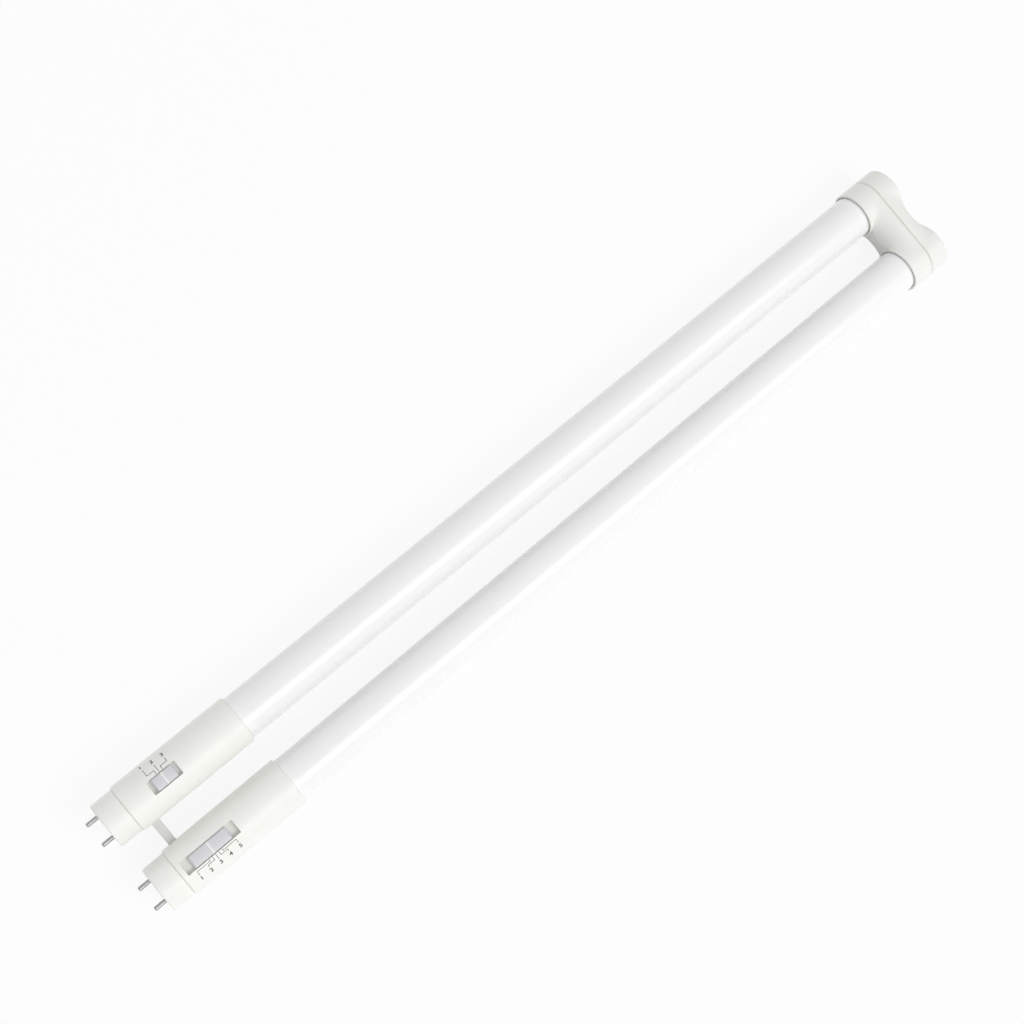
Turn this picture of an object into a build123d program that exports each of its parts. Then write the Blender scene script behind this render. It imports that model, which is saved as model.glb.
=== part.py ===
"""U-shaped LED lamp: two diffuser tubes joined by a bend cap, with slide selectors at the pin end.

All sizes are in millimetres.  +X runs from the contact pins to the bend, +Y to the leg with the power
selector, and +Z up from the surface that the lamp lies on.  The origin is the lamp's bottom centre.
"""
import math
import os

from build123d import *

# Lamp
base_to_bend = 571.5
leg_spacing = 41.275

# Diffuser tubes
tube_diameter = 25.4
tube_wall = 1.0
tube_grip = 22.0
glue_gap = 0.15

# Contact pins
pin_spacing = 12.7
pin_diameter = 2.35
pin_length = 7.0
pin_tip_round = 0.6
pin_head_diameter = 4.2
pin_head_thickness = 0.8
pin_tail_diameter = 1.6
pin_tail_length = 3.0
pin_shank_step = 0.225
pin_hole_gap = 0.03
pin_shoulder_width = 0.325
pin_recess_gap = 0.3
pin_recess_depth = 0.5

# Pin caps
cap_length = 13.1
cap_step = 1.0
cap_wall = 1.4
cap_end_wall = 2.0
cap_round = 0.7
spigot_length = 4.0
spigot_gap = 0.1

# Driver housings
housing_length = 70.8
housing_wall = 1.15
housing_edge = 0.35
stop_width = 1.4
stop_rise = 0.6

# Selectors and their pockets
power_window_inset = 15.1
power_knob_length = 13.0
power_positions = 3
power_end_room = 0.2
colour_window_inset = 2.95
colour_knob_length = 23.6
colour_positions = 5
colour_end_room = 0.65
selector_pitch = 2.0
knob_width = 7.7
knob_drop = 0.4
knob_corner = 1.0
knob_edge = 0.7
rib_width = 1.4
rib_length = 6.8
rib_rise = 0.5
rib_round = 0.45
end_gap = 0.2
side_gap = 0.15
glide_gap = 0.1
pocket_depth = 3.4
pocket_floor = 1.0
pocket_wall = 1.2
pocket_corner = 0.4
stem_length = 4.2
stem_width = 3.0

# Slide switches
switch_height = 3.6
switch_width = 5.0
switch_wall = 0.8
switch_gap = 0.4
slider_shoe_length = 4.0
slider_post = 1.5

# Driver boards and what is on them
board_thickness = 1.2
board_edge_gap = 0.3
board_inset = 2.9
rail_grip = 1.2
rail_height = 1.1
part_gap = 0.1
part_spread = 9.2
part_space = 1.0
lead_room = 4.5
fuse_diameter = 3.6
fuse_length = 10.0
fuse_cap_length = 2.0
fuse_cap_rise = 0.25
rectifier_length = 5.0
rectifier_width = 4.2
rectifier_height = 2.4
rectifier_bevel = 0.4
inductor_diameter = 7.5
inductor_height = 8.0
inductor_flange = 1.2
inductor_neck = 0.8
capacitor_diameter = 7.5
capacitor_length = 10.0
capacitor_groove = 0.4
capacitor_groove_from_end = 2.0

# LED strips
strip_width = 12.0
strip_thickness = 1.0
strip_gap = 0.1
strip_end_room = 2.5
led_length = 2.8
led_width = 3.5
led_height = 0.7
led_pitch = 12.0
led_end_room = 16.0

# Leads
lead_diameter = 1.1
lead_bend = 2.0
lead_landing = 2.5
strip_lead_spacing = 6.0
strip_lead_landing = 4.0
bend_lead_count = 3
bend_lead_rise = 2.5
bend_lead_step = 3.0
bend_lead_reach = 3.0

# Brace between the housings
brace_width = 4.6
brace_thickness = 3.0
brace_gap = 0.1
brace_clear = 0.8
brace_tenon = 0.8
brace_edge = 0.4

# Bend cap
socket_gap = 0.2
socket_wall = 1.4
socket_length = 14.3
socket_depth = 10.0
socket_lead_in = 0.4
socket_ledge = 0.5
cover_length = 13.2
cover_wall = 2.5
cover_round = 1.2
collar_step = 1.0
collar_round = 0.5
web_edge = 2.8
web_wall = 1.8
web_core_depth = 9.0
seam_bevel = 0.65
seam_ring_length = 2.0
seam_ring_gap = 0.1
wire_way_height = 9.0
wire_way_depth = 3.0
loft_steps = 5

# Radii that follow from what fits in what
tube_radius = tube_diameter / 2
tube_bore_radius = tube_radius - tube_wall
housing_bore_radius = tube_radius + glue_gap
housing_radius = housing_bore_radius + housing_wall
housing_mid_radius = (housing_bore_radius + housing_radius) / 2
cap_radius = housing_radius - cap_step
cap_bore_radius = cap_radius - cap_wall
spigot_radius = housing_bore_radius - spigot_gap
socket_radius = tube_radius + socket_gap
bend_radius = socket_radius + socket_wall
cover_bore_radius = bend_radius - cover_wall
pin_radius = pin_diameter / 2
pin_shank_radius = pin_radius - pin_shank_step
pin_shoulder_radius = pin_radius + pin_shoulder_width
half_spacing = leg_spacing / 2

# Places along the lamp
overall_length = pin_length + base_to_bend
pin_tip_x = -overall_length / 2
pin_face_x = pin_tip_x + pin_length
pin_seat_x = pin_face_x + pin_recess_depth
cap_floor_x = pin_face_x + cap_end_wall
pin_tail_x = cap_floor_x + pin_head_thickness + pin_tail_length
housing_start_x = pin_face_x + cap_length
housing_end_x = housing_start_x + housing_length
spigot_end_x = housing_start_x + spigot_length
tube_start_x = housing_end_x - tube_grip
stop_start_x = tube_start_x - stop_width
board_start_x = spigot_end_x + board_inset
board_end_x = stop_start_x - board_edge_gap
brace_x = spigot_end_x + brace_clear + brace_width / 2
bend_back_x = pin_face_x + base_to_bend
seam_x = bend_back_x - cover_length
bend_front_x = seam_x - socket_length
web_front_x = bend_front_x + collar_step
tube_end_x = bend_front_x + socket_depth
strip_start_x = tube_start_x + strip_end_room
strip_end_x = tube_end_x - strip_end_room

# Heights above the legs' own centre line, and the height of that line
leg_z = bend_radius
pocket_floor_z = housing_radius - pocket_depth
tray_bottom_z = pocket_floor_z - pocket_floor
switch_top_z = tray_bottom_z - switch_gap
board_top_z = switch_top_z - switch_height
board_bottom_z = board_top_z - board_thickness
board_half_width = math.sqrt((housing_bore_radius - board_edge_gap) ** 2 - board_top_z**2)
knob_base_z = pocket_floor_z + glide_gap
knob_crown_radius = housing_radius - knob_drop
stem_bottom_z = switch_top_z + switch_gap / 2
strip_bottom_z = -math.sqrt((tube_bore_radius - strip_gap) ** 2 - (strip_width / 2) ** 2)
strip_top_z = strip_bottom_z + strip_thickness
window_width = knob_width + 2 * side_gap
tray_width = window_width + 2 * pocket_wall


def leg_profile(y):
    """Plane through a leg's centre line for half profiles: local x is X, local y is up."""
    return Plane(origin=(0, y, leg_z), x_dir=(1, 0, 0), z_dir=(0, -1, 0))


def leg_section(x):
    """Plane across the legs at x: local x is Y, local y is up from the legs' centre line."""
    return Plane(origin=(x, 0, leg_z), x_dir=(0, 1, 0), z_dir=(1, 0, 0))


def leg_axis(y):
    """A line along X at the legs' height."""
    return Axis((0, y, leg_z), (1, 0, 0))


def selector_sizes(window_inset, knob_length, positions, end_room):
    """Travel, window and middle of one selector, from its knob and its number of positions."""
    travel = selector_pitch * (positions - 1) / 2
    window_length = knob_length + 2 * (travel + end_room)
    return {
        "knob_length": knob_length,
        "travel": travel,
        "window_length": window_length,
        "x": housing_start_x + window_inset + window_length / 2,
    }


def save(part, name):
    """Label a finished piece and write it to its own file."""
    part.label = name
    export_step(part, f"parts/{name}.step")


def make_tube(y):
    """Diffuser tube, from its stop in the housing to the ledge in the bend socket."""
    with BuildPart() as tube:
        with BuildSketch(leg_section(tube_start_x)):
            with Locations((y, 0)):
                Circle(tube_radius)
                Circle(tube_bore_radius, mode=Mode.SUBTRACT)
        extrude(amount=tube_end_x - tube_start_x)
    return tube.part


def make_pin_cap(y):
    """Cup with the lamp's end face, two pin holes and a notched spigot that plugs into the housing."""
    with BuildPart() as cap:
        with BuildSketch(leg_profile(y)):
            with BuildLine():
                Polyline(
                    (pin_face_x, 0),
                    (pin_face_x, cap_radius),
                    (housing_start_x, cap_radius),
                    (housing_start_x, spigot_radius),
                    (spigot_end_x, spigot_radius),
                    (spigot_end_x, cap_bore_radius),
                    (cap_floor_x, cap_bore_radius),
                    (cap_floor_x, 0),
                    close=True,
                )
            make_face()
        revolve(axis=leg_axis(y))
        face_edge = cap.faces().sort_by(Axis.X)[0].edges()
        fillet(face_edge, cap_round)
        with BuildSketch(leg_section(pin_face_x)):
            with Locations((y, 0)):
                with GridLocations(pin_spacing, pin_spacing, 2, 1):
                    Circle(pin_shank_radius + pin_hole_gap)
        extrude(amount=cap_end_wall, mode=Mode.SUBTRACT)
        with BuildSketch(leg_section(pin_face_x)):
            with Locations((y, 0)):
                with GridLocations(pin_spacing, pin_spacing, 2, 1):
                    Circle(pin_shoulder_radius + pin_recess_gap)
        extrude(amount=pin_recess_depth, mode=Mode.SUBTRACT)
        with BuildSketch(leg_section(housing_start_x)):
            with Locations((y, spigot_radius)):
                Rectangle(tray_width + 2 * side_gap, 2 * (spigot_radius - tray_bottom_z + side_gap))
        extrude(amount=spigot_length, mode=Mode.SUBTRACT)
    return cap.part


def make_pins(y):
    """The two contact pins of one leg, each riveted in the end wall, with a solder tail behind it."""
    with BuildPart() as pins:
        for pin_y in (y - pin_spacing / 2, y + pin_spacing / 2):
            with BuildSketch(leg_profile(pin_y)):
                with BuildLine():
                    Polyline(
                        (pin_tip_x, 0),
                        (pin_tip_x, pin_radius),
                        (pin_face_x, pin_radius),
                        (pin_face_x, pin_shoulder_radius),
                        (pin_seat_x, pin_shoulder_radius),
                        (pin_seat_x, pin_shank_radius),
                        (cap_floor_x, pin_shank_radius),
                        (cap_floor_x, pin_head_diameter / 2),
                        (cap_floor_x + pin_head_thickness, pin_head_diameter / 2),
                        (cap_floor_x + pin_head_thickness, pin_tail_diameter / 2),
                        (pin_tail_x, pin_tail_diameter / 2),
                        (pin_tail_x, 0),
                        close=True,
                    )
                make_face()
            revolve(axis=leg_axis(pin_y))
        tip_edges = pins.faces().filter_by(Axis.X).group_by(Axis.X)[0].edges()
        fillet(tip_edges, pin_tip_round)
    return pins.part


def make_housing(y, sizes):
    """Driver housing: a sleeve with a selector pocket, rails for the board and a stop for the tube."""
    tray_length = sizes["window_length"] + 2 * pocket_wall
    brace_side = -math.copysign(1, y)
    with BuildPart() as housing:
        with BuildSketch(leg_section(housing_start_x)):
            with Locations((y, 0)):
                Circle(housing_radius)
                Circle(housing_bore_radius, mode=Mode.SUBTRACT)
        extrude(amount=housing_length)
        circles = housing.edges().filter_by(GeomType.CIRCLE).sort_by(SortBy.RADIUS)
        mouth = circles[:2].sort_by(Axis.X)[-1]
        chamfer([mouth, *circles[-2:]], housing_edge)
        with BuildSketch(leg_section(stop_start_x)):
            with Locations((y, 0)):
                Circle(housing_mid_radius)
                Circle(tube_radius - stop_rise, mode=Mode.SUBTRACT)
        extrude(amount=stop_width)
        with BuildSketch(leg_section(board_start_x)):
            with Locations((y, 0)):
                Circle(housing_mid_radius)
            with Locations((y, board_bottom_z - rail_height / 2)):
                Rectangle(2 * housing_radius, rail_height, mode=Mode.INTERSECT)
                Rectangle(2 * (board_half_width - rail_grip), rail_height, mode=Mode.SUBTRACT)
        extrude(amount=board_end_x - board_start_x)
        with BuildSketch(leg_section(sizes["x"] - tray_length / 2)):
            with Locations((y, 0)):
                Circle(housing_mid_radius)
            with Locations((y, housing_radius)):
                Rectangle(tray_width, 2 * (housing_radius - tray_bottom_z), mode=Mode.INTERSECT)
        extrude(amount=tray_length)
        with BuildSketch(Plane.XY.offset(leg_z + pocket_floor_z)):
            with Locations((sizes["x"], y)):
                RectangleRounded(sizes["window_length"], window_width, pocket_corner)
        extrude(amount=2 * pocket_depth, mode=Mode.SUBTRACT)
        with BuildSketch(Plane.XY.offset(leg_z + tray_bottom_z)):
            with Locations((sizes["x"], y)):
                Rectangle(stem_length + 2 * (sizes["travel"] + end_gap), stem_width + 2 * side_gap)
        extrude(amount=pocket_floor, mode=Mode.SUBTRACT)
        with Locations((brace_x, y + brace_side * housing_mid_radius, leg_z)):
            Box(
                brace_width + 2 * brace_gap,
                2 * housing_wall,
                brace_thickness + 2 * brace_gap,
                mode=Mode.SUBTRACT,
            )
    return housing.part


def make_selector(y, sizes):
    """Selector knob: a crowned slab with a round rib on top and a hollow stem that drives the switch."""
    with BuildPart() as selector:
        with BuildSketch(leg_section(sizes["x"] - sizes["knob_length"] / 2)):
            with Locations((y, 0)):
                Circle(knob_crown_radius)
            with Locations((y, knob_base_z)):
                Rectangle(
                    knob_width,
                    knob_crown_radius - knob_base_z,
                    align=(Align.CENTER, Align.MIN),
                    mode=Mode.INTERSECT,
                )
        extrude(amount=sizes["knob_length"])
        fillet(selector.edges().filter_by(Axis.Z), knob_corner)
        end_edges = selector.edges().filter_by(GeomType.CIRCLE).filter_by(
            lambda edge: math.isclose(edge.radius, knob_crown_radius)
        )
        chamfer(end_edges, knob_edge)
        with BuildSketch(leg_section(sizes["x"] - rib_width / 2)):
            with Locations((y, 0)):
                Circle(knob_crown_radius + rib_rise)
            with Locations((y, knob_base_z)):
                Rectangle(
                    rib_length,
                    knob_crown_radius + rib_rise - knob_base_z,
                    align=(Align.CENTER, Align.MIN),
                    mode=Mode.INTERSECT,
                )
        extrude(amount=rib_width)
        rib_edges = selector.edges().filter_by(GeomType.CIRCLE).filter_by(
            lambda edge: math.isclose(edge.radius, knob_crown_radius + rib_rise)
        )
        fillet(rib_edges, rib_round)
        with BuildSketch(Plane.XY.offset(leg_z + stem_bottom_z)):
            with Locations((sizes["x"], y)):
                Rectangle(stem_length, stem_width)
        extrude(amount=knob_base_z - stem_bottom_z)
        with BuildSketch(Plane.XY.offset(leg_z + stem_bottom_z)):
            with Locations((sizes["x"], y)):
                Rectangle(slider_post + 2 * part_gap, slider_post + 2 * part_gap)
        extrude(amount=knob_base_z - stem_bottom_z, mode=Mode.SUBTRACT)
    return selector.part


def make_switch_body(y, sizes):
    """Slide switch case on the driver board, with a cavity for the slider and a slot for its post."""
    cavity_length = slider_shoe_length + 2 * (sizes["travel"] + end_gap)
    with BuildPart() as switch_body:
        with BuildSketch(Plane.XY.offset(leg_z + board_top_z)):
            with Locations((sizes["x"], y)):
                Rectangle(cavity_length + 2 * switch_wall, switch_width)
        extrude(amount=switch_height)
        with BuildSketch(Plane.XY.offset(leg_z + board_top_z + switch_wall)):
            with Locations((sizes["x"], y)):
                Rectangle(cavity_length, switch_width - 2 * switch_wall)
        extrude(amount=switch_height - 2 * switch_wall, mode=Mode.SUBTRACT)
        with BuildSketch(Plane.XY.offset(leg_z + switch_top_z - switch_wall)):
            with Locations((sizes["x"], y)):
                Rectangle(slider_post + 2 * (sizes["travel"] + end_gap), slider_post + 2 * side_gap)
        extrude(amount=switch_wall, mode=Mode.SUBTRACT)
    return switch_body.part


def make_slider(y, sizes):
    """Slider inside the switch: a shoe in the cavity and a post up into the selector's stem."""
    shoe_bottom_z = board_top_z + switch_wall + glide_gap
    shoe_top_z = switch_top_z - switch_wall - glide_gap
    with BuildPart() as slider:
        with BuildSketch(Plane.XY.offset(leg_z + shoe_bottom_z)):
            with Locations((sizes["x"], y)):
                Rectangle(slider_shoe_length, switch_width - 2 * (switch_wall + glide_gap))
        extrude(amount=shoe_top_z - shoe_bottom_z)
        with BuildSketch(Plane.XY.offset(leg_z + shoe_top_z)):
            with Locations((sizes["x"], y)):
                Rectangle(slider_post, slider_post)
        extrude(amount=knob_base_z - part_gap - shoe_top_z)
    return slider.part


def make_driver_board(y):
    """Driver circuit board, lying on the housing's rails."""
    with BuildPart() as board:
        with BuildSketch(Plane.XY.offset(leg_z + board_bottom_z)):
            with Locations((board_start_x, y)):
                Rectangle(
                    board_end_x - board_start_x,
                    2 * board_half_width,
                    align=(Align.MIN, Align.CENTER),
                )
        extrude(amount=board_thickness)
    return board.part


def make_fuse(y):
    """Fuse under the board: a round body with raised end caps, lying along the leg."""
    start_x = board_start_x + lead_room
    body_radius = fuse_diameter / 2 - fuse_cap_rise
    center_z = board_bottom_z - part_gap - fuse_diameter / 2
    fuse_plane = Plane(origin=(start_x, y, leg_z + center_z), x_dir=(1, 0, 0), z_dir=(0, -1, 0))
    with BuildPart() as fuse:
        with BuildSketch(fuse_plane):
            with BuildLine():
                Polyline(
                    (0, 0),
                    (0, fuse_diameter / 2),
                    (fuse_cap_length, fuse_diameter / 2),
                    (fuse_cap_length, body_radius),
                    (fuse_length - fuse_cap_length, body_radius),
                    (fuse_length - fuse_cap_length, fuse_diameter / 2),
                    (fuse_length, fuse_diameter / 2),
                    (fuse_length, 0),
                    close=True,
                )
            make_face()
        revolve(axis=Axis((start_x, y, leg_z + center_z), (1, 0, 0)))
    return fuse.part


def make_rectifier(y):
    """Bridge rectifier: a small bevelled block against the underside of the board."""
    with BuildPart() as rectifier:
        with BuildSketch(Plane.XY.offset(leg_z + board_bottom_z)):
            with Locations((board_start_x + lead_room, y)):
                Rectangle(rectifier_length, rectifier_width, align=(Align.MIN, Align.CENTER))
        extrude(amount=-rectifier_height)
        chamfer(rectifier.faces().sort_by(Axis.Z)[0].edges(), rectifier_bevel)
    return rectifier.part


def make_inductor(y):
    """Drum inductor hanging under the board: two flanges with the winding between them."""
    center_x = board_start_x + lead_room + fuse_length + part_space + inductor_diameter / 2
    flange_radius = inductor_diameter / 2
    drum_plane = Plane(origin=(center_x, y, leg_z + board_bottom_z), x_dir=(1, 0, 0), z_dir=(0, -1, 0))
    with BuildPart() as inductor:
        with BuildSketch(drum_plane):
            with BuildLine():
                Polyline(
                    (0, 0),
                    (flange_radius, 0),
                    (flange_radius, -inductor_flange),
                    (flange_radius - inductor_neck, -inductor_flange),
                    (flange_radius - inductor_neck, inductor_flange - inductor_height),
                    (flange_radius, inductor_flange - inductor_height),
                    (flange_radius, -inductor_height),
                    (0, -inductor_height),
                    close=True,
                )
            make_face()
        revolve(axis=Axis((center_x, y, leg_z), (0, 0, 1)))
    return inductor.part


def make_capacitor(y):
    """Bulk capacitor lying under the board: a can with a crimped groove near its open end."""
    start_x = board_start_x + lead_room + fuse_length + part_space
    radius = capacitor_diameter / 2
    center_z = board_bottom_z - part_gap - radius
    groove_x = capacitor_length - capacitor_groove_from_end
    can_plane = Plane(origin=(start_x, y, leg_z + center_z), x_dir=(1, 0, 0), z_dir=(0, -1, 0))
    with BuildPart() as capacitor:
        with BuildSketch(can_plane):
            with BuildLine():
                Polyline((0, 0), (0, radius), (groove_x - capacitor_groove, radius))
                ThreePointArc(
                    (groove_x - capacitor_groove, radius),
                    (groove_x, radius - capacitor_groove),
                    (groove_x + capacitor_groove, radius),
                )
                Polyline(
                    (groove_x + capacitor_groove, radius),
                    (capacitor_length, radius),
                    (capacitor_length, 0),
                    (0, 0),
                )
            make_face()
        revolve(axis=Axis((start_x, y, leg_z + center_z), (1, 0, 0)))
    return capacitor.part


def make_pin_leads(y):
    """Two leads from the pins' tails up to the underside of the driver board."""
    landing_x = board_start_x + lead_landing
    with BuildPart() as leads:
        for lead_y in (y - pin_spacing / 2, y + pin_spacing / 2):
            with BuildLine() as route:
                FilletPolyline(
                    (pin_tail_x, lead_y, leg_z),
                    (landing_x, lead_y, leg_z),
                    (landing_x, lead_y, leg_z + board_bottom_z),
                    radius=lead_bend,
                )
            with BuildSketch(leg_section(pin_tail_x)):
                with Locations((lead_y, 0)):
                    Circle(lead_diameter / 2)
            sweep(path=route.line)
    return leads.part


def make_strip_leads(y):
    """Two leads from the driver board, past the tube's stop, down to the LED strip."""
    start_x = board_end_x - lead_landing
    landing_x = strip_start_x + strip_lead_landing
    with BuildPart() as leads:
        for lead_y in (y - strip_lead_spacing / 2, y + strip_lead_spacing / 2):
            with BuildLine() as route:
                FilletPolyline(
                    (start_x, lead_y, leg_z + board_bottom_z),
                    (start_x, lead_y, leg_z),
                    (landing_x, lead_y, leg_z),
                    (landing_x, lead_y, leg_z + strip_top_z),
                    radius=lead_bend,
                )
            with BuildSketch(Plane.XY.offset(leg_z + board_bottom_z)):
                with Locations((start_x, lead_y)):
                    Circle(lead_diameter / 2)
            sweep(path=route.line)
    return leads.part


def make_strip(y):
    """LED strip board across the lower part of the tube's bore."""
    with BuildPart() as strip:
        with BuildSketch(Plane.XY.offset(leg_z + strip_bottom_z)):
            with Locations((strip_start_x, y)):
                Rectangle(strip_end_x - strip_start_x, strip_width, align=(Align.MIN, Align.CENTER))
        extrude(amount=strip_thickness)
    return strip.part


def make_leds(y):
    """Row of LEDs on one strip, clear of the leads at both ends."""
    row_length = strip_end_x - strip_start_x - 2 * led_end_room
    led_count = int(row_length / led_pitch) + 1
    with BuildPart() as leds:
        with BuildSketch(Plane.XY.offset(leg_z + strip_top_z)):
            with Locations(((strip_start_x + strip_end_x) / 2, y)):
                with GridLocations(led_pitch, led_pitch, led_count, 1):
                    Rectangle(led_length, led_width)
        extrude(amount=led_height)
    return leds.part


def make_brace():
    """Bar between the housings, with both ends let into their walls."""
    reach = half_spacing - housing_bore_radius + brace_tenon
    with BuildPart() as brace:
        with BuildSketch(Plane.XZ.offset(-reach)):
            with Locations((brace_x, leg_z)):
                Rectangle(brace_width, brace_thickness)
        extrude(amount=2 * reach)
        chamfer(brace.edges().filter_by(Axis.Y), brace_edge)
    return brace.part


def dog_bone(x, waist):
    """Section of the bend cap at x: two lobes joined by waist arcs that are tangent to them."""
    waist_radius = (half_spacing**2 + waist**2 - bend_radius**2) / (2 * (bend_radius - waist))
    share = bend_radius / (bend_radius + waist_radius)
    touch_y = half_spacing * (1 - share)
    touch_z = (waist + waist_radius) * share
    lobe_y = half_spacing + bend_radius
    with BuildSketch(leg_section(x)) as outline:
        with BuildLine():
            ThreePointArc((-touch_y, touch_z), (0, waist), (touch_y, touch_z))
            ThreePointArc((touch_y, touch_z), (lobe_y, 0), (touch_y, -touch_z))
            ThreePointArc((touch_y, -touch_z), (0, -waist), (-touch_y, -touch_z))
            ThreePointArc((-touch_y, -touch_z), (-lobe_y, 0), (-touch_y, touch_z))
        make_face()
    return outline.sketch


def bend_sections():
    """Sections from the web's front to the back face: the waist swells to full height at the seam."""
    end_angle = math.acos(web_edge / bend_radius)
    last = 2 * loft_steps - 1
    sections = []
    for step in range(-last, last + 1, 2):
        angle = end_angle * step / last
        reach = seam_x - web_front_x if step < 0 else cover_length
        x = seam_x + reach * math.sin(angle) / math.sin(end_angle)
        sections.append(dog_bone(x, bend_radius * math.cos(angle)))
    return sections


def make_bend_form():
    """Outer form of the whole bend cap, before it is parted and hollowed."""
    with BuildPart() as form:
        loft(sections=bend_sections())
    return form.part


def make_bend_socket(form):
    """Front half of the bend cap: collars with a socket for each tube, and a way for the leads."""
    with BuildPart() as socket:
        add(form)
        split(bisect_by=Plane.YZ.offset(seam_x), keep=Keep.BOTTOM)
        for y in (half_spacing, -half_spacing):
            with BuildSketch(leg_profile(y)):
                with BuildLine():
                    Polyline(
                        (web_front_x, 0),
                        (web_front_x, bend_radius),
                        (bend_front_x + collar_round, bend_radius),
                    )
                    RadiusArc(
                        (bend_front_x + collar_round, bend_radius),
                        (bend_front_x, bend_radius - collar_round),
                        -collar_round,
                    )
                    Polyline((bend_front_x, bend_radius - collar_round), (bend_front_x, 0), (web_front_x, 0))
                make_face()
            revolve(axis=leg_axis(y))
        chamfer(socket.faces().sort_by(Axis.X)[-1].edges(), seam_bevel)
        for y in (half_spacing, -half_spacing):
            with BuildSketch(leg_profile(y)):
                with BuildLine():
                    Polyline(
                        (bend_front_x, 0),
                        (bend_front_x, socket_radius + socket_lead_in),
                        (bend_front_x + socket_lead_in, socket_radius),
                        (tube_end_x, socket_radius),
                        (tube_end_x, tube_bore_radius - socket_ledge),
                        (seam_x - seam_ring_length - seam_ring_gap, tube_bore_radius - socket_ledge),
                        (seam_x - seam_ring_length - seam_ring_gap, socket_radius + seam_ring_gap),
                        (seam_x, socket_radius + seam_ring_gap),
                        (seam_x, 0),
                        close=True,
                    )
                make_face()
            revolve(axis=leg_axis(y), mode=Mode.SUBTRACT)
        with BuildSketch(leg_section(seam_x)):
            Rectangle(leg_spacing - 2 * (socket_radius + web_wall), 2 * wire_way_height)
        extrude(amount=-web_core_depth, mode=Mode.SUBTRACT)
        with BuildSketch(leg_section(seam_x)):
            Rectangle(leg_spacing, wire_way_height)
        extrude(amount=-wire_way_depth, mode=Mode.SUBTRACT)
    return socket.part


def make_bend_cover(form):
    """Back half of the bend cap: a shell with a rounded back edge and rings that plug into the front."""
    with BuildPart() as cover:
        add(form)
        split(bisect_by=Plane.YZ.offset(seam_x), keep=Keep.TOP)
        fillet(cover.faces().sort_by(Axis.X)[-1].edges(), cover_round)
        chamfer(cover.faces().sort_by(Axis.X)[0].edges(), seam_bevel)
        with BuildSketch(leg_section(seam_x - seam_ring_length)):
            with Locations((half_spacing, 0), (-half_spacing, 0)):
                Circle(socket_radius)
        extrude(amount=seam_ring_length)
        with BuildSketch(leg_section(seam_x - seam_ring_length)):
            with Locations((half_spacing, 0), (-half_spacing, 0)):
                Circle(cover_bore_radius)
        extrude(amount=seam_ring_length + cover_length - cover_wall, mode=Mode.SUBTRACT)
        with BuildSketch(leg_section(seam_x)):
            Rectangle(leg_spacing, 2 * wire_way_height)
        extrude(amount=web_core_depth, mode=Mode.SUBTRACT)
        with BuildSketch(leg_section(seam_x - seam_ring_length)):
            Rectangle(leg_spacing, wire_way_height)
        extrude(amount=seam_ring_length, mode=Mode.SUBTRACT)
    return cover.part


def make_bend_leads():
    """Leads from one LED strip through the bend cap to the other strip."""
    turn_x = seam_x + bend_lead_reach
    with BuildPart() as leads:
        for index in range(bend_lead_count):
            start_x = strip_end_x - strip_lead_landing - index * bend_lead_step
            level_z = leg_z + (index - (bend_lead_count - 1) / 2) * bend_lead_rise
            with BuildLine() as route:
                FilletPolyline(
                    (start_x, half_spacing, leg_z + strip_top_z),
                    (start_x, half_spacing, level_z),
                    (turn_x, half_spacing, level_z),
                    (turn_x, -half_spacing, level_z),
                    (start_x, -half_spacing, level_z),
                    (start_x, -half_spacing, leg_z + strip_top_z),
                    radius=lead_bend,
                )
            with BuildSketch(Plane.XY.offset(leg_z + strip_top_z)):
                with Locations((start_x, half_spacing)):
                    Circle(lead_diameter / 2)
            sweep(path=route.line)
    return leads.part


os.makedirs("parts", exist_ok=True)

legs = {"power": half_spacing, "colour": -half_spacing}
selectors = {
    "power": selector_sizes(power_window_inset, power_knob_length, power_positions, power_end_room),
    "colour": selector_sizes(colour_window_inset, colour_knob_length, colour_positions, colour_end_room),
}

for leg, leg_y in legs.items():
    selector = selectors[leg]
    save(make_tube(leg_y), f"{leg}_leg_tube")
    save(make_pin_cap(leg_y), f"{leg}_leg_pin_cap")
    save(make_pins(leg_y), f"{leg}_leg_pins")
    save(make_housing(leg_y, selector), f"{leg}_leg_housing")
    save(make_selector(leg_y, selector), f"{leg}_selector")
    save(make_switch_body(leg_y, selector), f"{leg}_switch_body")
    save(make_slider(leg_y, selector), f"{leg}_switch_slider")
    save(make_driver_board(leg_y), f"{leg}_driver_board")
    save(make_fuse(leg_y + part_spread / 2), f"{leg}_fuse")
    save(make_rectifier(leg_y - part_spread / 2), f"{leg}_rectifier")
    save(make_inductor(leg_y - part_spread / 2), f"{leg}_inductor")
    save(make_capacitor(leg_y + part_spread / 2), f"{leg}_capacitor")
    save(make_pin_leads(leg_y), f"{leg}_pin_leads")
    save(make_strip_leads(leg_y), f"{leg}_strip_leads")
    save(make_strip(leg_y), f"{leg}_led_strip")
    save(make_leds(leg_y), f"{leg}_leds")

bend_form = make_bend_form()
save(make_bend_socket(bend_form), "bend_socket")
save(make_bend_cover(bend_form), "bend_cover")
save(make_bend_leads(), "bend_leads")
save(make_brace(), "leg_brace")
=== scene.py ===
import math

import bmesh
import bpy
from mathutils import Matrix, Vector


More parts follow.
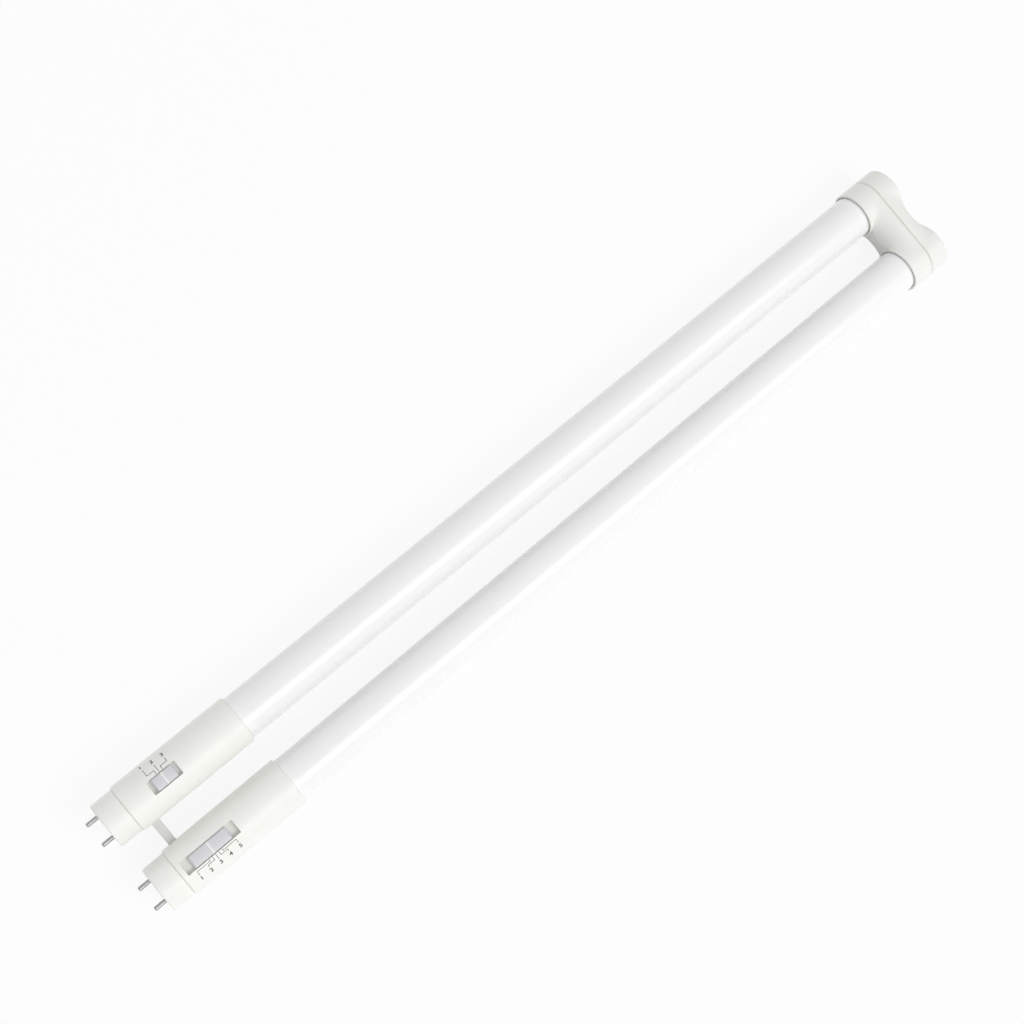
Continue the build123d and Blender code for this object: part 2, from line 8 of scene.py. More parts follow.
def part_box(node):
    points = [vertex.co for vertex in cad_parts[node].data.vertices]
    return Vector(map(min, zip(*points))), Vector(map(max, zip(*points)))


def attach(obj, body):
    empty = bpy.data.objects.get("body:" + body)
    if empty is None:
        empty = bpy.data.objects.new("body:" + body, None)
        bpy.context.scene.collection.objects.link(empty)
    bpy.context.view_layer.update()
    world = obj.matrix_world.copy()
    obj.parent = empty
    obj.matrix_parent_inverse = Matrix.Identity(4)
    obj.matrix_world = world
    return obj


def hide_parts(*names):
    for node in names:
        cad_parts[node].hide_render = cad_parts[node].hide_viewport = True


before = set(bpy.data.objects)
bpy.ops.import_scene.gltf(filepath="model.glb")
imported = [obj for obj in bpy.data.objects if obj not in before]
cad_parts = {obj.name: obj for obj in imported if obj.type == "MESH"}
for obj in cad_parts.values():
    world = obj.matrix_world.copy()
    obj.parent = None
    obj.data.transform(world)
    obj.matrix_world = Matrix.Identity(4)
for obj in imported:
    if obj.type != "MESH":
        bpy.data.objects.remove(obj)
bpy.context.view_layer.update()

# Sizes are in metres, in the lamp's own frame: +X from the pins to the bend, +Y to the power leg, +Z up.
MM = 0.001
LAMP = "lamp"
LEGS = ("power", "colour")

# Diffuser tubes
TUBE_WALL = 1.0 * MM
TUBE_LIP = 0.25 * MM
TUBE_SIDES = 160
TUBE_SPANS = 60
LIP_STEPS = 4

# Accents in the finishes: the selectors' pointer ribs, lighter as a pale mark and as a painted highlight,
# and painted shade on the pockets' floors and along the joint lines
RIB_RISE = 0.5 * MM
RIB_EDGE = 0.15 * MM
POCKET_SHADE_TOP = 2.2 * MM
POCKET_SHADE_FULL = 2.5 * MM
SEAM_HALF_WIDTH = 0.6 * MM
CAP_JOINT_WIDTH = 0.9 * MM
MOUTH_SHADE_WIDTH = 1.4 * MM
MOUTH_SHADE_SHARE = 0.75
COLLAR_SHADE_WIDTH = 2.6 * MM

# Colours
HOUSING_WHITE = (0.91, 0.92, 0.875)
# Painted shadow of the housing's step on the pin cap
CAP_JOINT_SHADE = (0.66, 0.667, 0.635)
# Painted shade on the selector pockets' floors
POCKET_SHADE = (0.74, 0.748, 0.71)
# The housings' white, about 4 % darker, as painted shade on the bend
BEND_SHADED_WHITE = (0.874, 0.884, 0.84)
# Painted shade in the bend's seam groove
SEAM_SHADE = (0.55, 0.555, 0.53)
SELECTOR_GREY = (0.695, 0.695, 0.72)
# Lighter pointer ribs: partly a pale mark, partly a painted highlight
RIB_MARK_AND_HIGHLIGHT = (0.9, 0.9, 0.9)
# Grey of the brace, darkened as painted shade for lying low between the legs
BRACE_SHADED_GREY = (0.70, 0.70, 0.695)
TUBE_WHITE = (0.93, 0.93, 0.932)
# Painted shadow on the tubes by the housings and before the bend's collar
TUBE_JOINT_SHADE = (0.72, 0.72, 0.715)
PLATING_DARK = (0.3, 0.3, 0.305)
PLATING_LIGHT = (0.37, 0.37, 0.37)
INK_DARK = (0.06, 0.06, 0.06)
INK_LIGHT = (0.11, 0.11, 0.108)
BOARD_GREEN = (0.035, 0.15, 0.065)
COPPER_RUN_GREEN = (0.06, 0.23, 0.10)
FERRITE_BLACK = (0.05, 0.05, 0.052)
WINDING_COPPER = (0.42, 0.17, 0.07)

# Most of a noise texture lies between low and high. Where a mask adds an accent, the noise is scaled down.
NOISE_LOW = 0.3
NOISE_HIGH = 0.7
ACCENT_NOISE_SHARE = 0.5
INK_NOISE_HIGH = 0.75
GRAIN_ROUGHNESS_SPREAD = 0.05

# Inductor: a flange's share of the drum's height, and half the width of the change of colour there
FLANGE_SHARE = 0.15
FLANGE_EDGE = 0.001

# Printed legend: places are millimetres from the pin caps' faces and degrees from straight up, to +Y.
INK_RISE = 0.03 * MM
INK_SINK = 0.03 * MM
LINE_WIDTH = 0.28 * MM
LINE_STEP_DEG = 2.0
LEAST_MITER_COSINE = 0.5
NUMBER_SIZE = 3.6 * MM
NUMBER_BOLD = 0.09 * MM
NUMBER_ROUNDING = 6
NUMBER_PLATE = 1.0 * MM
NUMBER_CUT = 0.15 * MM
NUMBER_WELD = 0.04 * MM
NUMBER_SNAP = 0.001 * MM
POWER_NUMBERS = {"1": (30.6, 58), "2": (36.75, 49), "3": (42.9, 47)}
POWER_LEADERS = (
    ((35.0, 17.5), (35.0, 27), (30.8, 27), (30.8, 46)),
    ((36.8, 17.5), (36.8, 38)),
    ((38.8, 17.5), (38.8, 26), (43.0, 26), (43.0, 36)),
)
COLOUR_NUMBERS = {
    "1": (20.3, -41),
    "2": (26.4, -41),
    "3": (32.5, -41),
    "4": (38.6, -41),
    "5": (44.8, -41),
}
COLOUR_LEADERS = (
    ((28.5, -17.5), (28.5, -21.5), (20.4, -21.5), (20.4, -31)),
    ((30.5, -17.5), (30.5, -26), (26.4, -26), (26.4, -31)),
    ((32.5, -17.5), (32.5, -31)),
    ((34.5, -17.5), (34.5, -26), (38.6, -26), (38.6, -31)),
    ((36.5, -17.5), (36.5, -21.5), (44.8, -21.5), (44.8, -31)),
)

# Camera, solved from the photograph
CAMERA_PLACE = Vector((-0.25855, 0.0063, 0.8859))
CAMERA_RIGHT = Vector((0.7445, -0.6359, 0.2032))
CAMERA_DOWN = Vector((-0.6107, -0.7717, -0.1773))
CAMERA_FORWARD = Vector((0.2696, 0.0079, -0.963))
CAMERA_LENS = 58.34
CAMERA_SENSOR = 36.0

# Floor: seen as white, which leaves a share of its true look within the reach of the lamp's shadow
FLOOR_RADIUS = 12.0
FLOOR_SIDES = 96
FLOOR_COLOUR = (0.92, 0.92, 0.92, 1)
FLOOR_SEEN_WHITE = 0.88
FLOOR_SHADOW_REACH = 0.6
FLOOR_WHITE_FROM = 2.5

# Sky: its level all over, what is added towards the horizon, and how much more of that there is on +Y
SKY_COLOUR = (1, 1, 1, 1)
SKY_ALL_OVER = 0.76
SKY_HORIZON = 0.58
SKY_TILT = 0.2

# Softbox: angles are from straight up, to -Y. An area light's radiance is its power over 4 times its area.
SOFTBOX_REACH = 4.0
SOFTBOX_TOP_DEG = 23.0
SOFTBOX_BOTTOM_DEG = 50.0
SOFTBOX_LENGTH = 3.0
SOFTBOX_MIDDLE_X = 0.7
SOFTBOX_RADIANCE = 3.2
POWER_PER_RADIANCE = 4.0


def leg_line(leg):
    """A leg's centre line, as (y, z)."""
    low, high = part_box(f"{leg}_leg_tube")
    return (low.y + high.y) / 2, (low.z + high.z) / 2


LEG_LINES = {leg: leg_line(leg) for leg in LEGS}


def on_leg(leg, x, angle, radius):
    """Point at x on a leg, at an angle from straight up to +Y, and at a radius from the centre line."""
    y, z = LEG_LINES[leg]
    return Vector((x, y + radius * math.sin(angle), z + radius * math.cos(angle)))


def new_object(name, data):
    """Put a mesh, curve, light or camera in the scene."""
    item = bpy.data.objects.new(name, data)
    bpy.context.scene.collection.objects.link(item)
    return item


def placed(place, right, up, back):
    """Matrix of a thing at a place, with its own X, Y and Z along three directions."""
    return Matrix.Translation(place) @ Matrix((right, up, back)).transposed().to_4x4()


# Shader nodes


def math_node(tree, operation, *values):
    """Result of a calculation with sockets and numbers in a node tree."""
    made = tree.nodes.new("ShaderNodeMath")
    made.operation = operation
    for socket, value in zip(made.inputs, values):
        if isinstance(value, bpy.types.NodeSocket):
            tree.links.new(value, socket)
        else:
            socket.default_value = value
    return made.outputs["Value"]


def ramp_node(tree, value, start, end, low=0.0, high=1.0):
    """Low where the value is at its start, high where it is at its end, and held beyond both."""
    share = tree.nodes.new("ShaderNodeMapRange")
    share.inputs["From Min"].default_value = start
    share.inputs["From Max"].default_value = end
    share.inputs["To Min"].default_value = low
    share.inputs["To Max"].default_value = high
    tree.links.new(value, share.inputs["Value"])
    return share.outputs["Result"]


def seen_as_background(tree):
    """1 for rays that show the background: to the camera, or by a reflection or through glass."""
    path = tree.nodes.new("ShaderNodeLightPath").outputs
    reflected = math_node(tree, "MAXIMUM", path["Is Glossy Ray"], path["Is Transmission Ray"])
    return math_node(tree, "MAXIMUM", path["Is Camera Ray"], reflected)


class Finish:
    """A principled material whose colour, roughness and relief follow textures in the lamp's frame."""

    def __init__(self, name):
        self.material = bpy.data.materials.new(name)
        self.material.use_nodes = True
        self.tree = self.material.node_tree
        self.shader = self.tree.nodes["Principled BSDF"]

    def node(self, kind):
        return self.tree.nodes.new(kind)

    def link(self, source, target):
        self.tree.links.new(source, target)

    def math(self, operation, *values):
        return math_node(self.tree, operation, *values)

    def ramp(self, value, none, full):
        """0 where the value is at none, 1 where it is at full, and held beyond both."""
        return ramp_node(self.tree, value, none, full)

    def place(self, stretch=(1, 1, 1)):
        """Texture place in the lamp's frame, in metres, stretched along the axes."""
        where = self.node("ShaderNodeTexCoord")
        mapping = self.node("ShaderNodeMapping")
        mapping.inputs["Scale"].default_value = stretch
        self.link(where.outputs["Object"], mapping.inputs["Vector"])
        return mapping.outputs["Vector"]

    def coordinate(self, axis):
        """One coordinate in the lamp's frame."""
        split = self.node("ShaderNodeSeparateXYZ")
        self.link(self.place(), split.inputs["Vector"])
        return split.outputs[axis]

    def from_leg(self, leg):
        """Distance from a leg's centre line."""
        away = self.node("ShaderNodeVectorMath")
        away.operation = "DISTANCE"
        away.inputs[1].default_value = (0, *LEG_LINES[leg])
        self.link(self.place(stretch=(0, 1, 1)), away.inputs[0])
        return away.outputs["Value"]

    def near_x(self, x, width):
        """1 at a place along the lamp, falling to 0 at a width on both sides."""
        away = self.math("ABSOLUTE", self.math("SUBTRACT", self.coordinate("X"), x))
        return self.ramp(away, width, 0)

    def noise(self, scale, detail, stretch=(1, 1, 1)):
        """Noise texture with so many features in a metre."""
        texture = self.node("ShaderNodeTexNoise")
        texture.inputs["Scale"].default_value = scale
        texture.inputs["Detail"].default_value = detail
        self.link(self.place(stretch), texture.inputs["Vector"])
        return texture.outputs["Fac"]

    def colours(self, value, *stops):
        """Base colour along a ramp of (position, colour) stops."""
        ramp = self.node("ShaderNodeValToRGB")
        elements = ramp.color_ramp.elements
        for element, (position, colour) in zip(elements, (stops[0], stops[-1])):
            element.position = position
            element.color = (*colour, 1)
        for position, colour in stops[1:-1]:
            elements.new(position).color = (*colour, 1)
        self.link(value, ramp.inputs["Fac"])
        self.link(ramp.outputs["Color"], self.shader.inputs["Base Color"])

    def accented(self, noise, dark, light, mask, accent):
        """Base colour between dark and light by a noise, with an accent colour where the mask nears 1."""
        scaled = self.math("MULTIPLY", noise, ACCENT_NOISE_SHARE)
        dark_stop = (NOISE_LOW * ACCENT_NOISE_SHARE, dark)
        light_stop = (NOISE_HIGH * ACCENT_NOISE_SHARE, light)
        self.colours(self.math("MAXIMUM", scaled, mask), dark_stop, light_stop, (1.0, accent))

    def roughness(self, value, low, high):
        spread = ramp_node(self.tree, value, 0, 1, low, high)
        self.link(spread, self.shader.inputs["Roughness"])

    def relief(self, value, depth, strength=1.0):
        bump = self.node("ShaderNodeBump")
        bump.inputs["Strength"].default_value = strength
        bump.inputs["Distance"].default_value = depth
        self.link(value, bump.inputs["Height"])
        self.link(bump.outputs["Normal"], self.shader.inputs["Normal"])


# Materials


def shades(colour, spread):
    """Two neighbours of a colour, a little darker and a little lighter."""
    dark = tuple(channel * (1 - spread) for channel in colour)
    light = tuple(min(1, channel * (1 + spread)) for channel in colour)
    return dark, light


def moulded(name, colour, rough, spread=0.012, grain=2600, mask=None, accent=None):
    """Moulded plastic: faint cloudiness, a fine spark-eroded grain and, by a mask, an accent colour, which
    paints shade on the white plastic and a highlight on the selectors' ribs.
    """
    finish = Finish(name)
    dark, light = shades(colour, spread)
    clouds = finish.noise(scale=60, detail=4)
    if mask:
        finish.accented(clouds, dark, light, mask(finish), accent)
    else:
        finish.colours(clouds, (NOISE_LOW, dark), (NOISE_HIGH, light))
    fine = finish.noise(scale=grain, detail=2)
    finish.roughness(fine, low=rough - GRAIN_ROUGHNESS_SPREAD, high=rough + GRAIN_ROUGHNESS_SPREAD)
    finish.relief(fine, depth=0.006 * MM)
    return finish.material


def white_plastic(name, colour, mask, accent):
    """Warm white of the housings, caps and bend, each with painted shade of its own as its accent."""
    return moulded(name, colour, rough=0.42, mask=mask, accent=accent)


def painted_joint_shade(x, width):
    """Mask of painted shade along a joint across the lamp."""
    return lambda finish: finish.near_x(x, width)


def by_radius(leg, none, full):
    """Mask by the distance from a leg's centre line."""
    return lambda finish: finish.ramp(finish.from_leg(leg), none, full)


def milky_tube():
    """Diffuser tube: white and satin, with faint drawing lines along it and a painted shadow at both ends,
    by the housing and before the bend.
    """
    finish = Finish("milky_tube")
    lines = finish.noise(scale=420, detail=3, stretch=(0.01, 1, 1))
    dark, light = shades(TUBE_WHITE, spread=0.006)
    mouth_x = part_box("power_leg_housing")[1].x
    collar_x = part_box("bend_socket")[0].x
    # Painted shadow on the tube by the housing's end and before the bend's collar
    mouth_shadow = finish.math("MULTIPLY", finish.near_x(mouth_x, MOUTH_SHADE_WIDTH), MOUTH_SHADE_SHARE)
    joint_shadows = finish.math("MAXIMUM", mouth_shadow, finish.near_x(collar_x, COLLAR_SHADE_WIDTH))
    finish.accented(lines, dark, light, joint_shadows, TUBE_JOINT_SHADE)
    finish.roughness(lines, low=0.2, high=0.26)
    finish.relief(lines, depth=0.004 * MM, strength=0.1)
    return finish.material


def plated_metal():
    """Nickel-plated pins: turned rings round the pin and slight clouding of the plating."""
    finish = Finish("plated_metal")
    clouds = finish.noise(scale=700, detail=3)
    rings = finish.noise(scale=9000, detail=2, stretch=(1, 0.05, 0.05))
    finish.colours(clouds, (NOISE_LOW, PLATING_DARK), (NOISE_HIGH, PLATING_LIGHT))
    finish.roughness(rings, low=0.24, high=0.38)
    finish.relief(rings, depth=0.003 * MM)
    finish.shader.inputs["Metallic"].default_value = 1.0
    return finish.material


def ink():
    """Printed legend: dark grey ink with a slightly uneven film."""
    finish = Finish("legend_ink")
    film = finish.noise(scale=5200, detail=3)
    finish.colours(film, (NOISE_LOW, INK_DARK), (INK_NOISE_HIGH, INK_LIGHT))
    finish.roughness(film, low=0.45, high=0.62)
    return finish.material


def circuit_board():
    """Green solder mask with paler copper runs under it."""
    finish = Finish("circuit_board")
    bricks = finish.node("ShaderNodeTexBrick")
    bricks.inputs["Scale"].default_value = 260
    bricks.inputs["Mortar Size"].default_value = 0.035
    finish.link(finish.place(), bricks.inputs["Vector"])
    runs = bricks.outputs["Fac"]
    finish.colours(runs, (0.0, BOARD_GREEN), (1.0, COPPER_RUN_GREEN))
    finish.relief(runs, depth=0.03 * MM)
    finish.roughness(finish.noise(scale=900, detail=2), low=0.28, high=0.42)
    return finish.material


def wound_drum():
    """Ferrite flanges with an enamelled winding between them, by height."""
    finish = Finish("wound_drum")
    low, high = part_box("power_inductor")
    winding_top = 1 - FLANGE_SHARE
    finish.colours(
        finish.ramp(finish.coordinate("Z"), low.z, high.z),
        (0.0, FERRITE_BLACK),
        (FLANGE_SHARE - FLANGE_EDGE, FERRITE_BLACK),
        (FLANGE_SHARE + FLANGE_EDGE, WINDING_COPPER),
        (winding_top - FLANGE_EDGE, WINDING_COPPER),
        (winding_top + FLANGE_EDGE, FERRITE_BLACK),
        (1.0, FERRITE_BLACK),
    )
    turns = finish.noise(scale=2600, detail=1, stretch=(0.02, 0.02, 1))
    finish.relief(turns, depth=0.08 * MM)
    finish.roughness(turns, low=0.3, high=0.5)
    return finish.material


def finishes_of_both_legs():
    """Finishes that both legs share, by the kind of piece."""
    # Painted shadow on the cap by the housing's step
    cap_step_shade = painted_joint_shade(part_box("power_leg_housing")[0].x, CAP_JOINT_WIDTH)
    return {
        "leg_pin_cap": white_plastic("cap_white", HOUSING_WHITE, cap_step_shade, CAP_JOINT_SHADE),
        "leg_pins": plated_metal(),
        "switch_body": moulded("switch_black", (0.028, 0.028, 0.03), rough=0.4, spread=0.15),
        "switch_slider": moulded("slider_black", (0.04, 0.04, 0.042), rough=0.45, spread=0.15),
        "driver_board": circuit_board(),
        "fuse": moulded("fuse_glaze", (0.72, 0.68, 0.58), rough=0.22, spread=0.05, grain=900),
        "rectifier": moulded("rectifier_black", (0.02, 0.02, 0.022), rough=0.5, spread=0.2),
        "inductor": wound_drum(),
        "capacitor": moulded("can_sleeve", (0.03, 0.035, 0.07), rough=0.3, spread=0.12, grain=700),
        "pin_leads": moulded("lead_white", (0.74, 0.74, 0.72), rough=0.48, spread=0.05, grain=1500),
        "strip_leads": moulded("lead_cream", (0.76, 0.74, 0.68), rough=0.48, spread=0.05, grain=1500),
        "led_strip": moulded("strip_white", (0.84, 0.84, 0.83), rough=0.35, spread=0.03, grain=1200),
        "leds": moulded("led_phosphor", (0.90, 0.72, 0.22), rough=0.3, spread=0.08, grain=1800),
    }


def selector_finish(leg):
    """Grey selector with a lighter pointer rib, which rises above its crown: partly a pale mark, partly a
    painted highlight.
    """
    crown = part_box(f"{leg}_selector")[1].z - LEG_LINES[leg][1] - RIB_RISE
    # The rib is painted lighter: partly a pale pointer mark, partly a painted highlight
    rib = by_radius(leg, crown, crown + RIB_EDGE)
    return moulded(f"{leg}_selector_grey", SELECTOR_GREY, rough=0.36, mask=rib, accent=RIB_MARK_AND_HIGHLIGHT)


def housing_finish(leg):
    """White housing with painted shade on the floor of its pocket."""
    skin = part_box(f"{leg}_leg_housing")[1].z - LEG_LINES[leg][1]
    # Painted shade on the pocket's floor
    pocket = by_radius(leg, skin - POCKET_SHADE_TOP, skin - POCKET_SHADE_FULL)
    return white_plastic(f"{leg}_housing_white", HOUSING_WHITE, pocket, POCKET_SHADE)


def dress_nodes():
    """Give every carried-over solid its finish."""
    by_kind = finishes_of_both_legs()
    finishes = {f"{leg}_{kind}": material for leg in LEGS for kind, material in by_kind.items()}
    for leg in LEGS:
        finishes[f"{leg}_selector"] = selector_finish(leg)
        finishes[f"{leg}_leg_housing"] = housing_finish(leg)
    # Painted shade along the bend's seam
    seam = painted_joint_shade(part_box("bend_socket")[1].x, SEAM_HALF_WIDTH)
    # The bend's white is darkened as painted shade
    bend = white_plastic("bend_shaded_white", BEND_SHADED_WHITE, seam, SEAM_SHADE)
    finishes["bend_socket"] = bend
    finishes["bend_cover"] = bend
    finishes["bend_leads"] = by_kind["strip_leads"]
    # The brace's grey is darkened as painted shade
    finishes["leg_brace"] = moulded("brace_shaded_grey", BRACE_SHADED_GREY, rough=0.45)
    for name, material in finishes.items():
        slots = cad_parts[name].data.materials
        slots.clear()
        slots.append(material)


# Pieces


def join_rings(shape, here, there):
    """Faces between two closed rings with as many vertices."""
    for index in range(len(here)):
        after = (index + 1) % len(here)
        shape.faces.new((here[index], here[after], there[after], there[index]))


def new_piece(name, shape, material):
    """Make a finished mesh a piece that rides on the lamp."""
    bmesh.ops.recalc_face_normals(shape, faces=shape.faces)
    mesh = bpy.data.meshes.new(name)
    shape.to_mesh(mesh)
    shape.free()
    mesh.materials.append(material)
    piece = new_object(name, mesh)
    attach(piece, LAMP)
    return piece


def lip_arc(x, radius, start_deg):
    """Quarter circle of a lip round its centre, from an angle on, without its first point."""
    arc = []
    for step in range(1, LIP_STEPS + 1):
        angle = math.radians(start_deg - 90 * step / LIP_STEPS)
        arc.append((x + TUBE_LIP * math.cos(angle), radius + TUBE_LIP * math.sin(angle)))
    return arc


def tube_profile(length, radius):
    """Section of the tube's wall as (x, radius) points, with a rounded lip at both ends."""
    inner = radius - TUBE_WALL
    first, last = TUBE_LIP, length - TUBE_LIP
    along = [first + (last - first) * span / TUBE_SPANS for span in range(TUBE_SPANS + 1)]
    points = [(x, radius) for x in along]
    points += lip_arc(last, radius - TUBE_LIP, 90)
    points += lip_arc(last, inner + TUBE_LIP, 0)
    points += [(x, inner) for x in reversed(along[:-1])]
    points += lip_arc(first, inner + TUBE_LIP, -90)
    points += lip_arc(first, radius - TUBE_LIP, -180)
    return points[:-1]


def make_tube(leg, material):
    """Fine diffuser tube in place of the coarser solid, with its wall and both lips."""
    low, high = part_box(f"{leg}_leg_tube")
    profile = tube_profile(high.x - low.x, (high.z - low.z) / 2)
    shape = bmesh.new()
    rings = []
    for side in range(TUBE_SIDES):
        angle = 2 * math.pi * side / TUBE_SIDES
        rings.append([shape.verts.new(on_leg(leg, low.x + x, angle, radius)) for x, radius in profile])
    for side in range(TUBE_SIDES):
        join_rings(shape, rings[side], rings[(side + 1) % TUBE_SIDES])
    for face in shape.faces:
        face.smooth = True
    tube = new_piece(f"{leg}_diffuser_tube", shape, material)
    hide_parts(f"{leg}_leg_tube")


def flat_point(x, angle, radius):
    """Place of the legend as a flat point in metres, along X and round the housing."""
    return Vector((x * MM, math.radians(angle) * radius))


def leader_route(corners, radius):
    """Flat points of a leader line, close enough on its round runs to follow the housing."""
    route = []
    for (x, angle), (next_x, next_angle) in zip(corners, corners[1:]):
        steps = max(1, math.ceil(abs(next_angle - angle) / LINE_STEP_DEG))
        for step in range(steps):
            share = step / steps
            here_x = x + (next_x - x) * share
            here_angle = angle + (next_angle - angle) * share
            route.append(flat_point(here_x, here_angle, radius))
    route.append(flat_point(*corners[-1], radius))
    return route


def leader_edges(route):
    """Left and right edges of a leader line, as pairs of flat points, mitred at its corners."""
    edges = []
    for index, point in enumerate(route):
        before = (point - route[index - 1]).normalized() if index else None
        after = (route[index + 1] - point).normalized() if index + 1 < len(route) else None
        ahead = ((before or after) + (after or before)).normalized()
        across = Vector((-ahead.y, ahead.x))
        miter = 1 / max(LEAST_MITER_COSINE, ahead.dot(after or before))
        side = across * miter * LINE_WIDTH / 2
        edges.append((point + side, point - side))
    return edges


def add_leader(shape, printed, route):
    """Add a leader line to a mesh, as a closed film whose vertices the printed function makes."""
    rows = []
    for left, right in leader_edges(route):
        upper = [printed(left, INK_RISE), printed(right, INK_RISE)]
        lower = [printed(right, -INK_SINK), printed(left, -INK_SINK)]
        rows.append(upper + lower)
    for here, there in zip(rows, rows[1:]):
        join_rings(shape, here, there)
    shape.faces.new(rows[0])
    shape.faces.new(rows[-1])


def number_mesh(text):
    """A number as a plate about the origin, upright along Y."""
    curve = bpy.data.curves.new("number", "FONT")
    curve.body = text
    curve.size = NUMBER_SIZE
    curve.align_x = "CENTER"
    curve.align_y = "CENTER"
    curve.extrude = NUMBER_PLATE
    curve.offset = NUMBER_BOLD
    curve.resolution_u = NUMBER_ROUNDING
    holder = new_object("number", curve)
    bpy.context.view_layer.update()
    evaluated = holder.evaluated_get(bpy.context.evaluated_depsgraph_get())
    plate = bpy.data.meshes.new_from_object(evaluated)
    bpy.data.objects.remove(holder)
    bpy.data.curves.remove(curve)
    return plate


def add_number(shape, printed, text, middle):
    """Add a number to a mesh, as a film cut in narrow steps and wrapped by the printed function."""
    plate = number_mesh(text)
    glyph = bmesh.new()
    glyph.from_mesh(plate)
    bpy.data.meshes.remove(plate)
    bmesh.ops.remove_doubles(glyph, verts=glyph.verts, dist=NUMBER_WELD)
    bmesh.ops.dissolve_degenerate(glyph, edges=glyph.edges, dist=NUMBER_SNAP)
    cuts = math.ceil(NUMBER_SIZE / 2 / NUMBER_CUT)
    for cut in range(-cuts, cuts + 1):
        every = [*glyph.verts, *glyph.edges, *glyph.faces]
        bmesh.ops.bisect_plane(
            glyph, geom=every, dist=NUMBER_SNAP, plane_co=(0, cut * NUMBER_CUT, 0), plane_no=(0, 1, 0))
    wrapped = {}
    for vert in glyph.verts:
        wrapped[vert] = printed(middle + vert.co.xy, INK_RISE if vert.co.z > 0 else -INK_SINK)
    for face in glyph.faces:
        shape.faces.new([wrapped[vert] for vert in face.verts])
    glyph.free()


def make_legend(leg, numbers, leaders, material):
    """Numbers and leader lines of one selector, as a thin film of ink on the housing."""
    face_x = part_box(f"{leg}_leg_pin_cap")[0].x
    low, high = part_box(f"{leg}_leg_housing")
    radius = (high.z - low.z) / 2
    shape = bmesh.new()

    def printed(flat, rise):
        """New vertex at a flat point, wrapped round the housing at a rise from its skin."""
        return shape.verts.new(on_leg(leg, face_x + flat.x, flat.y / radius, radius + rise))

    for corners in leaders:
        add_leader(shape, printed, leader_route(corners, radius))
    for text, place in numbers.items():
        add_number(shape, printed, text, flat_point(*place, radius))
    new_piece(f"{leg}_legend", shape, material)


# Stage


def floor_material():
    """Pale and matt, seen as white. Near the lamp a share of its true look keeps the lamp's shadow."""
    material = bpy.data.materials.new("floor")
    material.use_nodes = True
    tree = material.node_tree
    nodes, links = tree.nodes, tree.links
    nodes.clear()
    where = nodes.new("ShaderNodeTexCoord")
    away = nodes.new("ShaderNodeVectorMath")
    away.operation = "LENGTH"
    links.new(where.outputs["Object"], away.inputs[0])
    distance = away.outputs["Value"]
    white = ramp_node(tree, distance, FLOOR_SHADOW_REACH, FLOOR_WHITE_FROM, low=FLOOR_SEEN_WHITE)
    share = math_node(tree, "MULTIPLY", seen_as_background(tree), white)
    diffuse = nodes.new("ShaderNodeBsdfDiffuse")
    diffuse.inputs["Color"].default_value = FLOOR_COLOUR
    glow = nodes.new("ShaderNodeEmission")
    mix = nodes.new("ShaderNodeMixShader")
    links.new(share, mix.inputs["Fac"])
    links.new(diffuse.outputs["BSDF"], mix.inputs[1])
    links.new(glow.outputs["Emission"], mix.inputs[2])
    output = nodes.new("ShaderNodeOutputMaterial")
    links.new(mix.outputs["Shader"], output.inputs["Surface"])
    return material


def make_floor():
    """Round floor under the lamp."""
    mesh = bpy.data.meshes.new("floor")
    shape = bmesh.new()
    bmesh.ops.create_circle(shape, cap_ends=True, radius=FLOOR_RADIUS, segments=FLOOR_SIDES)
    shape.to_mesh(mesh)
    shape.free()
    mesh.materials.append(floor_material())
    new_object("floor", mesh)


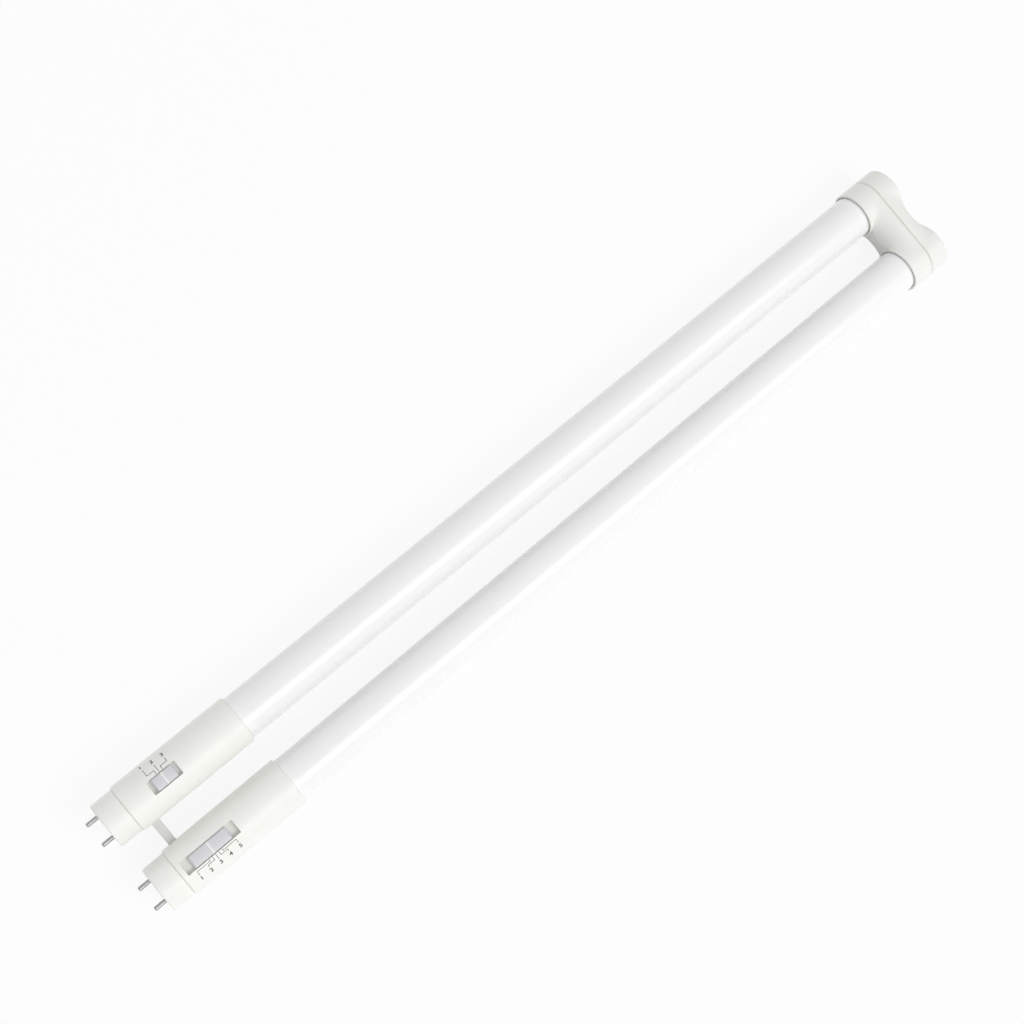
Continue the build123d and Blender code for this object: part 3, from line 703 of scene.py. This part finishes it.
def make_sky():
    """Studio light, brightest low at both sides, fading toward the lamp's ends. It is seen as white."""
    world = bpy.data.worlds.new("studio")
    bpy.context.scene.world = world
    world.use_nodes = True
    tree = world.node_tree
    nodes, links = tree.nodes, tree.links
    where = nodes.new("ShaderNodeTexCoord")
    split = nodes.new("ShaderNodeSeparateXYZ")
    links.new(where.outputs["Generated"], split.inputs["Vector"])
    toward_end = math_node(tree, "MULTIPLY", split.outputs["X"], split.outputs["X"])
    sideways = math_node(tree, "SUBTRACT", 1.0, toward_end)
    lowness = math_node(tree, "SUBTRACT", 1.0, split.outputs["Z"])
    side = math_node(tree, "MULTIPLY_ADD", split.outputs["Y"], SKY_TILT, SKY_HORIZON)
    low_light = math_node(tree, "MULTIPLY", lowness, side)
    both = math_node(tree, "MULTIPLY_ADD", sideways, SKY_ALL_OVER, low_light)
    level = math_node(tree, "MULTIPLY", both, sideways)
    strength = math_node(tree, "MAXIMUM", seen_as_background(tree), level)
    background = nodes["Background"]
    background.inputs["Color"].default_value = SKY_COLOUR
    links.new(strength, background.inputs["Strength"])


def make_softbox():
    """Long softbox beside the lamp, whose upper edge shows as the bright line along the tubes."""
    top, bottom = math.radians(SOFTBOX_TOP_DEG), math.radians(SOFTBOX_BOTTOM_DEG)
    upper = SOFTBOX_REACH * Vector((0, -math.sin(top), math.cos(top)))
    lower = SOFTBOX_REACH * Vector((0, -math.sin(bottom), math.cos(bottom)))
    light = bpy.data.lights.new("softbox", "AREA")
    light.shape = "RECTANGLE"
    light.size = SOFTBOX_LENGTH
    light.size_y = (upper - lower).length
    light.energy = POWER_PER_RADIANCE * light.size * light.size_y * SOFTBOX_RADIANCE
    softbox = new_object("softbox", light)
    along = Vector((1, 0, 0))
    up = (upper - lower).normalized()
    middle = (upper + lower) / 2 + along * SOFTBOX_MIDDLE_X
    softbox.matrix_world = placed(middle, along, up, along.cross(up))
    softbox.visible_camera = False


def make_camera():
    """Camera at the photograph's place."""
    data = bpy.data.cameras.new("camera")
    data.lens = CAMERA_LENS
    data.sensor_width = CAMERA_SENSOR
    camera = new_object("camera", data)
    camera.matrix_world = placed(CAMERA_PLACE, CAMERA_RIGHT, -CAMERA_DOWN, -CAMERA_FORWARD)
    bpy.context.scene.camera = camera


dress_nodes()
tube_finish = milky_tube()
for leg_name in LEGS:
    make_tube(leg_name, tube_finish)
legend_ink = ink()
make_legend("power", POWER_NUMBERS, POWER_LEADERS, legend_ink)
make_legend("colour", COLOUR_NUMBERS, COLOUR_LEADERS, legend_ink)
make_floor()
make_sky()
make_softbox()
make_camera()
bpy.context.scene.view_settings.view_transform = "Standard"
